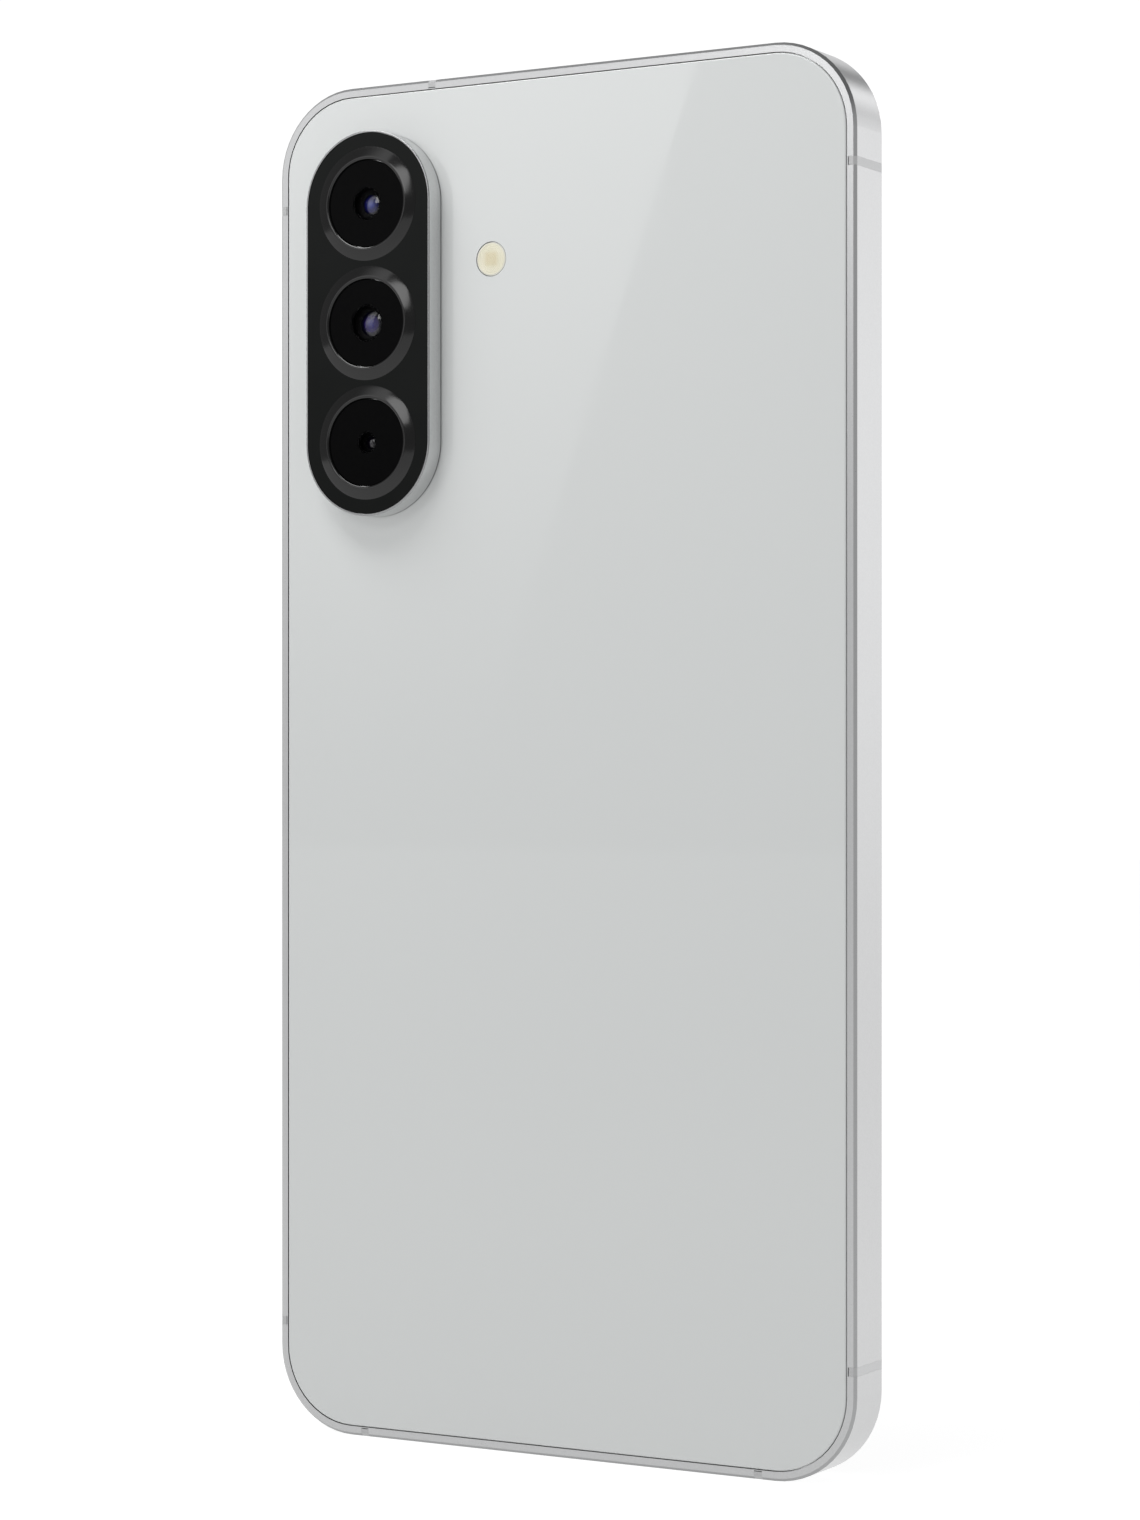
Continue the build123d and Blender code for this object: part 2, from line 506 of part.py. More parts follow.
# ---------------------------------------------------------------- SIM reader and tray
with BuildPart() as sim_reader:
    box_between(ROD_X - 0.8, TRAY_X + 8.2, BOARD_BACK + 0.02, TRAY_Y - 0.65, LEVER_Z - 1.2, 159.0)
    box_between(TRAY_X - 8.2, TRAY_X - 7.6, BOARD_BACK + 0.02, 2.25, TRAY_FOOT + 0.6, 159.0)
    box_between(TRAY_X + 7.6, TRAY_X + 8.2, BOARD_BACK + 0.02, 2.25, TRAY_FOOT + 0.6, 159.0)
    box_between(TRAY_X - 8.2, TRAY_X + 8.2, 2.1, 2.25, TRAY_FOOT + 0.6, 159.0)
    round_y(LEVER_X, LEVER_Z, 0.5, BOARD_BACK + 0.1, 2.2)
    with Locations(*[(TRAY_X + x, 2.2, z) for x in (-4.2, 4.2) for z in (142.0, 153.0)]):
        Box(3.0, 1.0, 6.0, mode=Mode.SUBTRACT)
save(sim_reader, "sim_reader")

with BuildPart() as sim_tray:
    with BuildSketch(Plane.XY.offset(HEIGHT)):
        with Locations((HEAD_X, TRAY_Y)):
            SlotOverall(HEAD_W, HEAD_H)
    extrude(amount=-HEAD_L)
    box_between(TRAY_X - TRAY_W / 2, TRAY_X + TRAY_W / 2, TRAY_Y - TRAY_T / 2, TRAY_Y + TRAY_T / 2,
                TRAY_FOOT, HEIGHT - HEAD_L)
    fillet(sim_tray.edges().filter_by(Axis.Y).sort_by(Axis.Z)[:2], 0.8)
    for z in (TRAY_FOOT + 6.2, TRAY_FOOT + 16.8):  # a card sits in each window, on a ledge at its back
        box_between(TRAY_X - 6.2, TRAY_X + 6.2, TRAY_Y - 0.25, TRAY_Y + 1, z - 4.45, z + 4.45, Mode.SUBTRACT)
        box_between(TRAY_X - 5.4, TRAY_X + 5.4, TRAY_Y - 1, TRAY_Y + 1, z - 3.7, z + 3.7, Mode.SUBTRACT)
    with BuildSketch(Plane.XY.offset(HEIGHT)):
        with Locations((ROD_X, TRAY_Y)):
            Circle(0.45)
    extrude(amount=-HEAD_L, mode=Mode.SUBTRACT)
save(sim_tray, "sim_tray")

with BuildPart() as tray_seal:
    with BuildSketch(Plane.XY.offset(HEIGHT - HEAD_L - 0.02)):
        with Locations((TRAY_X, TRAY_Y)):
            Rectangle(TRAY_W + 0.24, TRAY_T + 0.14)
            Rectangle(TRAY_W + 0.04, TRAY_T + 0.04, mode=Mode.SUBTRACT)
    extrude(amount=-0.6)
save(tray_seal, "tray_seal")

with BuildPart() as eject_rod:
    with BuildSketch(Plane.XY.offset(158.6)):
        with Locations((ROD_X, TRAY_Y)):
            Circle(ROD_R)
    extrude(amount=-(158.6 - LEVER_Z - LEVER_H / 2 - 0.08))
save(eject_rod, "eject_rod")

with BuildPart() as eject_lever:
    box_between(ROD_X - 0.5, TRAY_X + 3.5, TRAY_Y - 0.55, TRAY_Y + 0.55, LEVER_Z - LEVER_H / 2,
                LEVER_Z + LEVER_H / 2)
    fillet(eject_lever.edges().filter_by(Axis.Y), 0.4)
    round_y(LEVER_X, LEVER_Z, 1.05, TRAY_Y - 0.55, TRAY_Y + 0.55)
    round_y(LEVER_X, LEVER_Z, 0.55, TRAY_Y - 1, TRAY_Y + 1, Mode.SUBTRACT)
save(eject_lever, "eject_lever")

# ---------------------------------------------------------------- covers over the boards, and their screws
with BuildPart() as upper_cover:
    with BuildSketch(level(COVER_BACK)):
        outline(WALL + 0.5)
        with Locations((0, 136.2)):
            Rectangle(WIDTH, 46.4, mode=Mode.INTERSECT)
        island(RING_R + 0.4, Mode.SUBTRACT)
        with Locations((FLASH_X, FLASH_Z)):
            Rectangle(4.2, 4.2, mode=Mode.SUBTRACT)
        with Locations(*UPPER_SCREWS):
            Circle(0.75, mode=Mode.SUBTRACT)
    extrude(amount=COVER_BACK - COVER_FRONT)
    with BuildSketch(level(COVER_BACK)):
        with Locations(*UPPER_SCREWS):
            Circle(SCREW_HEAD_R + 0.15)
    extrude(amount=0.25, mode=Mode.SUBTRACT)
save(upper_cover, "upper_cover")

with BuildPart() as lower_cover:
    with BuildSketch(level(COVER_BACK)):
        outline(WALL + 0.5)
        with Locations((0, 13.2)):
            Rectangle(WIDTH, 22.6, mode=Mode.INTERSECT)
        with Locations(*LOWER_SCREWS):
            Circle(0.75, mode=Mode.SUBTRACT)
    extrude(amount=COVER_BACK - COVER_FRONT)
    with BuildSketch(level(COVER_BACK)):
        with Locations(*LOWER_SCREWS):
            Circle(SCREW_HEAD_R + 0.15)
    extrude(amount=0.25, mode=Mode.SUBTRACT)
save(lower_cover, "lower_cover")

with BuildPart() as cover_screws:
    for x, z in SCREWS:
        round_y(x, z, SCREW_HEAD_R, COVER_BACK - 0.24, COVER_BACK + 0.04)
        round_y(x, z, SCREW_R, 0.3, COVER_BACK - 0.2)
        with Locations((x, COVER_BACK, z)):
            Box(1.3, 0.2, 0.3, mode=Mode.SUBTRACT)
            Box(0.3, 0.2, 1.3, mode=Mode.SUBTRACT)
save(cover_screws, "cover_screws")

# ---------------------------------------------------------------- battery
with BuildPart() as battery:
    box_between(-BATTERY_W / 2, BATTERY_W / 2, -1.35, 2.65, BATTERY_Z - BATTERY_L / 2, BATTERY_Z + BATTERY_L / 2)
    fillet(battery.edges().filter_by(Axis.Z), 1.2)
save(battery, "battery")

with BuildPart() as battery_adhesive:
    for x in (-20.0, 0.0, 20.0):
        box_between(x - 5, x + 5, PLATE_BACK + 0.01, -1.36, BATTERY_Z - 38, BATTERY_Z + 38)
save(battery_adhesive, "battery_adhesive")

with BuildPart() as battery_flex:
    box_between(-28.5, -22.5, 1.32, 1.45, BATTERY_Z + BATTERY_L / 2 + 0.05, 117.0)
save(battery_flex, "battery_flex")

# ---------------------------------------------------------------- lower board, port and what sits round them
with BuildPart() as sub_board:
    with BuildSketch(level(BOARD_BACK)):
        with Locations((-5.5, 12.0)):
            RectangleRounded(29.0, 17.4, 0.6)
        with Locations((0, 6.0)):
            Rectangle(USB_W + 0.5, 6.4, mode=Mode.SUBTRACT)
        with Locations(*LOWER_SCREWS):
            Circle(POST_R + 0.2, mode=Mode.SUBTRACT)
    extrude(amount=BOARD_BACK - BOARD_FRONT)
save(sub_board, "sub_board")

with BuildPart() as usb_shell:
    with BuildSketch(Plane.XY.offset(USB_MOUTH)):
        with Locations((0, USB_Y)):
            SlotOverall(USB_W, USB_H)
            SlotOverall(USB_W - 2 * USB_WALL, USB_H - 2 * USB_WALL, mode=Mode.SUBTRACT)
    extrude(amount=USB_END - USB_MOUTH)
save(usb_shell, "usb_shell")

with BuildPart() as usb_tongue:
    with BuildSketch(Plane.XY.offset(0.9)):
        with Locations((0, USB_Y)):
            RectangleRounded(6.7, 0.7, 0.2)
    extrude(amount=6.2)
    with BuildSketch(Plane.XY.offset(7.0)):
        with Locations((0, USB_Y)):
            SlotOverall(USB_W - 2 * USB_WALL - 0.04, USB_H - 2 * USB_WALL - 0.04)
    extrude(amount=1.6)
save(usb_tongue, "usb_tongue")

with BuildPart() as usb_seal:
    with BuildSketch(Plane.XY.offset(2.45)):
        with Locations((0, USB_Y)):
            SlotOverall(USB_W + 0.36, USB_H + 0.2)
            SlotOverall(USB_W + 0.02, USB_H + 0.02, mode=Mode.SUBTRACT)
    extrude(amount=0.3)
save(usb_seal, "usb_seal")

with BuildPart() as loudspeaker:
    box_between(10.4, 31.5, -1.4, 2.2, 3.0, 20.4)
    fillet(loudspeaker.edges().filter_by(Axis.Y), 1.0)
    box_between(10.9, 22.3, -0.6, 1.0, 2.0, 5.4, Mode.SUBTRACT)
save(loudspeaker, "loudspeaker")

with BuildPart() as speaker_mesh:
    box_between(10.7, 22.5, -0.55, 0.95, 2.45, 2.6)
save(speaker_mesh, "speaker_mesh")

with BuildPart() as earpiece_speaker:
    box_between(3.3, 15.5, -1.4, 1.3, 153.3, 159.2)
    fillet(earpiece_speaker.edges().filter_by(Axis.Y), 0.6)
save(earpiece_speaker, "earpiece_speaker")

with BuildPart() as microphones:
    box_between(TOP_MIC_X - 1.7, TOP_MIC_X + 1.7, 1.4, 2.2, 156.8, 159.6)
    box_between(BOTTOM_MIC_X - 1.7, BOTTOM_MIC_X + 1.7, BOARD_BACK + 0.01, 1.6, 3.6, 6.4)
save(microphones, "microphones")

with BuildPart() as haptic_case:
    with Locations((HAPTIC_X, 0, HAPTIC_Z)):
        Box(*HAPTIC_SIZE)
        Box(*[s - 0.5 for s in HAPTIC_SIZE], mode=Mode.SUBTRACT)
save(haptic_case, "haptic_case")

with BuildPart() as haptic_mass:
    with Locations((HAPTIC_X, 0, HAPTIC_Z)):
        Box(9.6, 2.2, 6.8)
    fillet(haptic_mass.edges().filter_by(Axis.Y), 0.8)
save(haptic_mass, "haptic_mass")

with BuildPart() as board_flex:
    box_between(-17.5, -10.5, 2.68, 2.8, 25.2, 112.3)  # over the back of the battery
    for z_bend, z_end in ((25.2, 17.6), (112.3, 116.8)):  # and down to a connector at each end
        step = 0.12 if z_end > z_bend else -0.12
        box_between(-17.5, -10.5, 1.32, 2.8, min(z_bend, z_bend + step), max(z_bend, z_bend + step))
        box_between(-17.5, -10.5, 1.32, 1.44, min(z_bend, z_end), max(z_bend, z_end))
save(board_flex, "board_flex")

# ---------------------------------------------------------------- side keys
with BuildPart() as power_key:
    with BuildSketch(Plane.YZ.offset(KEY_BOTTOM)):
        with Locations((0, POWER_Z)):
            SlotOverall(POWER_L, KEY_H, rotation=90)
    extrude(amount=HALF_W + KEY_PROUD - KEY_BOTTOM)
    fillet(power_key.faces().sort_by(Axis.X)[-1].edges(), 0.2)
    with BuildSketch(Plane.YZ.offset(KEY_BOTTOM)):
        with Locations((0, POWER_Z)):
            Circle(STEM_R)
    extrude(amount=STEM_TIP - KEY_BOTTOM)
save(power_key, "power_key")

with BuildPart() as volume_key:
    with BuildSketch(Plane.YZ.offset(KEY_BOTTOM)):
        with Locations((0, VOLUME_Z)):
            SlotOverall(VOLUME_L, KEY_H, rotation=90)
    extrude(amount=HALF_W + KEY_PROUD - KEY_BOTTOM)
    fillet(volume_key.faces().sort_by(Axis.X)[-1].edges(), 0.2)
    with BuildSketch(Plane.YZ.offset(KEY_BOTTOM)):
        with Locations((0, VOLUME_Z - VOLUME_STEM), (0, VOLUME_Z + VOLUME_STEM)):
            Circle(STEM_R)
    extrude(amount=STEM_TIP - KEY_BOTTOM)
save(volume_key, "volume_key")

with BuildPart() as key_domes:
    for z in STEMS_Z:
        with BuildSketch(Plane(origin=(0, 0, z), x_dir=(0, 1, 0), z_dir=(0, 0, -1))):
            with BuildLine():
                dome_profile(1.1, STEM_TIP - 0.6, STEM_TIP - 0.5, STEM_TIP - 0.28)
            make_face()
        revolve(axis=Axis((0, 0, z), (1, 0, 0)))
save(key_domes, "key_domes")

with BuildPart() as key_flex:
    box_between(STEM_TIP - 0.75, STEM_TIP - 0.61, -1.2, 1.9, 88.0, 131.0)
save(key_flex, "key_flex")

with BuildPart() as key_bracket:
    box_between(STEM_TIP - 1.05, STEM_TIP - 0.76, -1.3, 2.1, 87.0, 132.0)
save(key_bracket, "key_bracket")
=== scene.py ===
"""A glass-backed smartphone standing on its bottom edge: finishes and fine pieces round the CAD frame.

Metres, in the frame of the part: X across the screen, +Z up, screen towards -Y. The camera island is at +X on
the back.
"""

import math

import bpy
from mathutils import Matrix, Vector


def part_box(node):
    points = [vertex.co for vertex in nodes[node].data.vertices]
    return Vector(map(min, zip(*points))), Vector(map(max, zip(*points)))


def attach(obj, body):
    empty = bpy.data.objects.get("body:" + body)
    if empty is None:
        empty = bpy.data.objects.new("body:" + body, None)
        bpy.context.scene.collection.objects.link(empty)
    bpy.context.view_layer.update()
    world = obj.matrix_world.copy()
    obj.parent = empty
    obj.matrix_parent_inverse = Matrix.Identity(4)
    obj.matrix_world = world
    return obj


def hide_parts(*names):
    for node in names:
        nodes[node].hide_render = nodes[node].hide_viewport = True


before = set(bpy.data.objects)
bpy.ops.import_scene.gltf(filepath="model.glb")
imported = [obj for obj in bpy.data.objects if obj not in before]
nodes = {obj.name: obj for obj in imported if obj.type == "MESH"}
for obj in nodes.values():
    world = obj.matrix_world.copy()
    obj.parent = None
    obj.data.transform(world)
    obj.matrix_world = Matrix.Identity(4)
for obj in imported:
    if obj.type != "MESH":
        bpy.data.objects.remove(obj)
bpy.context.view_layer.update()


# ------------------------------------------------------------------ side frame
# The frame is one piece of milled aluminium: a band with flat sides, a narrow flat rim with a
# diamond-cut edge round the back glass, and the middle plate. It is bead-blasted and anodised silver.
MM = 0.001  # a millimetre in metres
PER_MM = 1000.0


class Value:
    """One output socket of a finish. Arithmetic on it adds Math nodes."""

    def __init__(self, finish, socket):
        self.finish, self.socket = finish, socket

    def math(self, operation, first, second=None):
        inputs = {i: v for i, v in enumerate((first, second)) if v is not None}
        return self.finish.node("ShaderNodeMath", {"operation": operation}, inputs)

    def __add__(self, other):
        return self.math("ADD", self, other)

    def __radd__(self, other):
        return self.math("ADD", other, self)

    def __sub__(self, other):
        return self.math("SUBTRACT", self, other)

    def __rsub__(self, other):
        return self.math("SUBTRACT", other, self)

    def __mul__(self, other):
        return self.math("MULTIPLY", self, other)

    def __rmul__(self, other):
        return self.math("MULTIPLY", other, self)

    def __pow__(self, other):
        return self.math("POWER", self, other)

    def __abs__(self):
        return self.math("ABSOLUTE", self)

    def most(self, other):
        return self.math("MAXIMUM", self, other)

    def root(self):
        return self.math("SQRT", self)

    def sine(self):
        return self.math("SINE", self)

    def rise(self, start, end, low=0.0, high=1.0):
        """Goes smoothly from low to high as this value goes from start to end."""
        settings = {"interpolation_type": "SMOOTHSTEP"}
        return self.finish.node("ShaderNodeMapRange", settings, {0: self, 1: start, 2: end, 3: low, 4: high})


class Finish:
    """A material, with the nodes that give its surface."""

    def __init__(self, name, **surface):
        self.material = bpy.data.materials.new(name)
        self.material.use_nodes = True
        self.tree = self.material.node_tree
        self.skin = self.tree.nodes["Principled BSDF"]
        for socket, value in surface.items():
            self.set(socket.replace("_", " "), value)

    def set(self, socket, value, shader=None):
        """Sets one socket of the surface shader to a constant or a link."""
        target = (shader or self.skin).inputs[socket]
        if isinstance(value, Value):
            self.tree.links.new(value.socket, target)
        elif isinstance(value, tuple) and len(value) == 3 and target.type == "RGBA":
            target.default_value = (*value, 1.0)
        else:
            target.default_value = value

    def node(self, kind, settings=None, inputs=None, output=0):
        """Adds one node: its settings first, then the values or links of its sockets."""
        made = self.tree.nodes.new(kind)
        for name, value in (settings or {}).items():
            setattr(made, name, value)
        for socket, value in (inputs or {}).items():
            self.set(socket, value, made)
        return Value(self, made.outputs[output])

    def place(self):
        """The point on the surface in the row frame, in metres."""
        return self.node("ShaderNodeTexCoord", output="Object")

    def axes(self, vector=None):
        """X, Y and Z of a vector, or of the point on the surface, in millimetres."""
        split = self.node("ShaderNodeSeparateXYZ", None, {0: vector or self.place()}).socket.node
        scale = 1.0 if vector else PER_MM
        return [Value(self, out) * scale for out in split.outputs]

    def stretched(self, x, y, z):
        """The point on the surface, scaled along each axis."""
        return self.node("ShaderNodeVectorMath", {"operation": "MULTIPLY"}, {0: self.place(), 1: (x, y, z)})

    def noise(self, scale, detail=2.0, vector=None):
        """Soft noise round 0.5; scale is in cells per millimetre when no vector is given."""
        vector = vector or self.stretched(PER_MM, PER_MM, PER_MM)
        inputs = {"Vector": vector, "Scale": scale, "Detail": detail}
        return self.node("ShaderNodeTexNoise", {"noise_dimensions": "3D"}, inputs)

    def blend(self, share, first, second):
        """A colour between two colours."""
        made = self.tree.nodes.new("ShaderNodeMix")
        made.data_type = "RGBA"
        for socket, value in zip((0, 6, 7), (share, first, second)):
            self.set(socket, value, made)
        return Value(self, made.outputs[2])

    def scaled(self, colour, scale):
        """A colour made lighter or darker by a factor."""
        return self.node("ShaderNodeVectorMath", {"operation": "SCALE"}, {0: colour, "Scale": scale})

    def from_axis(self, x, z):
        """Distance in millimetres from an axis along Y through (x, z)."""
        side, _, up = self.axes()
        return ((side - x) ** 2.0 + (up - z) ** 2.0).root()

    def bump(self, height, depth_mm):
        """A normal from a height between 0 and 1, that many millimetres deep."""
        inputs = {"Height": height, "Distance": depth_mm * MM, "Strength": 1.0}
        return self.node("ShaderNodeBump", None, inputs)


def wear(finish, *names):
    """Gives CAD nodes this finish."""
    for name in names:
        nodes[name].data.materials.clear()
        nodes[name].data.materials.append(finish.material)


def blasted(name, colour, rough=0.24):
    """Bead-blasted and anodised aluminium: a very fine even grain, with faint smears from handling.

    With no colour, the section that uses it sets the base colour itself, with painted shade in it.
    """
    made = Finish(name, Metallic=1.0)
    grain = made.noise(9.0, 3.0)
    smears = made.noise(0.045, 2.0)
    if colour:
        made.set("Base Color", made.scaled(colour, 0.985 + 0.03 * smears))
    made.set("Roughness", rough + 0.05 * grain + 0.05 * smears)
    made.set("Normal", made.bump(grain, 0.0016))
    return made


def grained(name, scale, detail, dark, light, **surface):
    """A finish whose colour wanders between two tones, and the grain that it wanders with."""
    made = Finish(name, **surface)
    grain = made.noise(scale, detail)
    made.set("Base Color", made.blend(grain, dark, light))
    return made, grain


# The cut edge and the flat rim are given darker silver tones than the sides: painted shade for the darker
# reflections in those bands.
SILVER, CUT_SHADED_SILVER, RIM_SHADED_SILVER = (0.565, 0.568, 0.571), (0.31, 0.313, 0.316), (0.44, 0.443, 0.446)
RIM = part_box("frame")[1].y / MM  # depth of the flat rim on the back
CUT = 0.34  # width of the diamond-cut edge outside it
silver_frame = blasted("silver_blasted_frame", None)
_, deep, _ = silver_frame.axes()
shaded_frame_tone = silver_frame.blend(deep.rise(RIM - CUT - 0.02, RIM - CUT + 0.02), SILVER, CUT_SHADED_SILVER)
shaded_frame_tone = silver_frame.blend(deep.rise(RIM - 0.03, RIM - 0.008), shaded_frame_tone, RIM_SHADED_SILVER)
brushed = silver_frame.noise(6.0, 2.0).rise(0.2, 0.8, 0.97, 1.03)
silver_frame.set("Base Color", silver_frame.scaled(shaded_frame_tone, brushed))
wear(silver_frame, "frame")

# ------------------------------------------------------------------ antenna breaks
# Seven short bands of filled plastic are moulded into slots in the aluminium and milled flush with it.
# They are a little darker and duller than the metal.
break_plastic = Finish("antenna_break_plastic", Roughness=0.42)
break_grain = break_plastic.noise(4.0, 3.0)
break_tone = break_plastic.blend(break_grain, (0.55, 0.555, 0.56), (0.61, 0.614, 0.618))
# The band over the frame's cut edge is painted darker, the same painted shade as the frame's cut edge.
_, deep, _ = break_plastic.axes()
break_plastic.set("Base Color", break_plastic.blend(
    deep.rise(RIM - CUT - 0.02, RIM - CUT + 0.02), break_tone, (0.36, 0.363, 0.366)))
break_plastic.set("Normal", break_plastic.bump(break_grain, 0.002))
wear(break_plastic, "antenna_breaks")

# ------------------------------------------------------------------ back glass
# The back is one flat sheet of toughened glass with softly rounded edges. The pale silver-grey colour
# is printed on its inside, under a film with very fine pearl flakes.
back_glass = Finish("silver_grey_back_glass", IOR=1.5)
flakes = back_glass.noise(26.0, 1.0)
cloud = back_glass.noise(0.02, 2.0)
pearl = 0.985 + 0.022 * flakes + 0.012 * cloud
PEARL_GREY = (0.498, 0.511, 0.508)
back_glass.set("Base Color", back_glass.scaled(PEARL_GREY, pearl))
smear = back_glass.noise(0.09, 4.0)
back_glass.set("Roughness", smear.rise(0.35, 0.75, 0.012, 0.035))
wear(back_glass, "back_glass")

# ------------------------------------------------------------------ ring of the camera island
# A pill-shaped aluminium ring is machined in one piece with the floor that carries the cameras. Its wall is
# polished finer than the frame. Its rounded top edge, and a thin line where it meets the glass, are painted
# darker: painted shade.
RING_SILVER = (0.70, 0.703, 0.706)
RING_TOP, GLASS_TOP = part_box("island_ring")[1].y / MM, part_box("back_glass")[1].y / MM
silver_ring = blasted("silver_polished_ring", None, rough=0.17)
_, deep, _ = silver_ring.axes()
# Painted shade: the rounded top edge is darkened to dim its highlight, and a dark line is painted at the
# foot.
shaded_ring_tone = silver_ring.blend(deep.rise(RING_TOP - 0.15, RING_TOP - 0.05), RING_SILVER, (0.26, 0.262, 0.264))
shaded_ring_tone = silver_ring.blend(deep.rise(GLASS_TOP + 0.32, GLASS_TOP + 0.06), shaded_ring_tone, (0.17, 0.172, 0.174))
silver_ring.set("Base Color", silver_ring.scaled(shaded_ring_tone, silver_ring.noise(3.0) * 0.1 + 0.95))
wear(silver_ring, "island_ring")

# ------------------------------------------------------------------ deck of the camera island
# One pill of black glass fills the ring. It is printed black on its inside and carries an anti-glare coat.
deck_glass, deck_smear = grained("black_deck_glass", 0.25, 4.0,
                                 (0.0016, 0.0021, 0.0019), (0.0034, 0.004, 0.0037),
                                  IOR=1.5, Specular_IOR_Level=0.07)
deck_glass.set("Roughness", 0.05 + 0.05 * deck_smear)
wear(deck_glass, "island_deck")

# ------------------------------------------------------------------ lens bezels
# Each lens has a turned ring of black-plated metal, pressed through a hole in the deck. Its outside is a cone
# that falls to the deck, with a small rounded lip round the window.
DECK_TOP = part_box("island_deck")[1].y / MM
ring_low, ring_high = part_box("island_ring")
ISLAND_X = (ring_low.x + ring_high.x) / 2 / MM
ISLAND_Z = (ring_low.z + ring_high.z) / 2 / MM
PITCH = (ring_high.z - ring_low.z - ring_high.x + ring_low.x) / 2 / MM
LENS_Z = {"ultrawide": ISLAND_Z + PITCH, "main": ISLAND_Z, "macro": ISLAND_Z - PITCH}
BEZEL_R, BEZEL_TOP = 6.8, GLASS_TOP + 3.1


def piece(name, points, faces, body, finish, smooth_angle=32.0):
    """A new piece in millimetres that rides on a body, with a finish."""
    mesh = bpy.data.meshes.new(name)
    mesh.from_pydata([(x * MM, y * MM, z * MM) for x, y, z in points], [], faces)
    mesh.update()
    mesh.shade_smooth()
    mesh.set_sharp_from_angle(angle=math.radians(smooth_angle))
    made = bpy.data.objects.new(name, mesh)
    bpy.context.scene.collection.objects.link(made)
    mesh.materials.append(finish.material)
    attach(made, body)
    return made


def turned(name, x, z, profile, body, finish, sides=144, closed=True):
    """A piece turned about an axis along Y through (x, z), from (radius, depth) points of its section."""
    points, faces = [], []
    for radius, depth in profile:
        for i in range(sides):
            angle = 2 * math.pi * i / sides
            points.append((x + radius * math.cos(angle), depth, z + radius * math.sin(angle)))
    rows = len(profile)
    for row in range(rows if closed else rows - 1):
        a, b = row * sides, (row + 1) % rows * sides
        for i in range(sides):
            j = (i + 1) % sides
            faces.append((a + i, a + j, b + j, b + i))
    if not closed:
        faces.append(tuple(range(sides)))
        faces.append(tuple(reversed(range((rows - 1) * sides, rows * sides))))
    return piece(name, points, faces, body, finish)


black_plate, turning = grained("black_plated_metal", 6.0, 2.0,
                               (0.0022, 0.0022, 0.0023), (0.004, 0.004, 0.004),
                                IOR=1.5, Specular_IOR_Level=0.42)
black_plate.set("Roughness", 0.11 + 0.04 * turning)
LIP_R, FOOT_R = 5.25, 5.5  # inside of the ring, and of the part that goes through the deck
bezel_section = [(LIP_R, DECK_TOP - 0.48), (FOOT_R, DECK_TOP - 0.48), (FOOT_R, DECK_TOP + 0.012)]
bezel_section += [(BEZEL_R, DECK_TOP + 0.012)]
CREST_R = 5.62  # where the cone rounds over into the lip
CONE_STEPS, CONE_SWELL = 10, 0.93  # a power a little under 1 swells the cone outwards
for step in range(CONE_STEPS + 1):
    share = step / CONE_STEPS
    bezel_section.append((BEZEL_R - 0.02 - (BEZEL_R - CREST_R) * share,
                          DECK_TOP + 0.02 + (BEZEL_TOP - DECK_TOP - 0.035) * share ** CONE_SWELL))
bezel_section += [(CREST_R - 0.12, BEZEL_TOP)]
bezel_section += [(5.38, BEZEL_TOP - 0.03), (5.29, BEZEL_TOP - 0.09), (LIP_R, BEZEL_TOP - 0.18)]
bezels = [turned(f"{name}_bezel", ISLAND_X, z, bezel_section, "phone", black_plate)
          for name, z in LENS_Z.items()]
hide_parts("lens_bezels")

# ------------------------------------------------------------------ lens windows
# A coated disc of glass closes each bezel. Its inside is printed black, except for the clear opening that
# the lens looks through.
WINDOW_R, WINDOW_TOP = 5.2, DECK_TOP + 0.14
OPENING_R = {"ultrawide": 1.95, "main": 2.2, "macro": 1.3}
for name, z in LENS_Z.items():
    window_glass = Finish(f"{name}_window_glass", IOR=1.5, Specular_IOR_Level=0.02, Roughness=0.03)
    printed = window_glass.from_axis(ISLAND_X, z).rise(OPENING_R[name] - 0.5, OPENING_R[name] + 0.1)
    dust = window_glass.noise(1.4, 3.0)
    print_black = window_glass.blend(dust, (0.0007, 0.0007, 0.0008), (0.0016, 0.0016, 0.0017))
    window_glass.set("Base Color", print_black)
    window_glass.set("Alpha", printed.most(0.04))
    section = [(WINDOW_R - 0.04, WINDOW_TOP), (WINDOW_R, WINDOW_TOP - 0.04), (WINDOW_R, DECK_TOP - 0.4)]
    window = turned(f"{name}_window", ISLAND_X, z, section, "phone", window_glass,
                    closed=False)
    if name == "ultrawide":
        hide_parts("lens_windows")

# ------------------------------------------------------------------ rear cameras
# Each camera is a black moulded body with a round barrel. A thin baffle ring stops stray light round the
# domed, coated front glass. Only the main barrel moves, to focus, and its glass and ring move with it.
BARREL_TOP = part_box("main_lens_barrel")[1].y / MM
camera_black, mould_grain = grained("camera_moulding", 5.0, 3.0,
                                    (0.0012, 0.0012, 0.0014), (0.0026, 0.0026, 0.003),
                                     IOR=1.45, Specular_IOR_Level=0.06)
camera_black.set("Roughness", 0.45 + 0.15 * mould_grain)
camera_black.set("Normal", camera_black.bump(mould_grain, 0.004))
wear(camera_black, "ultrawide_camera", "main_camera", "macro_camera", "main_lens_barrel", "front_camera")
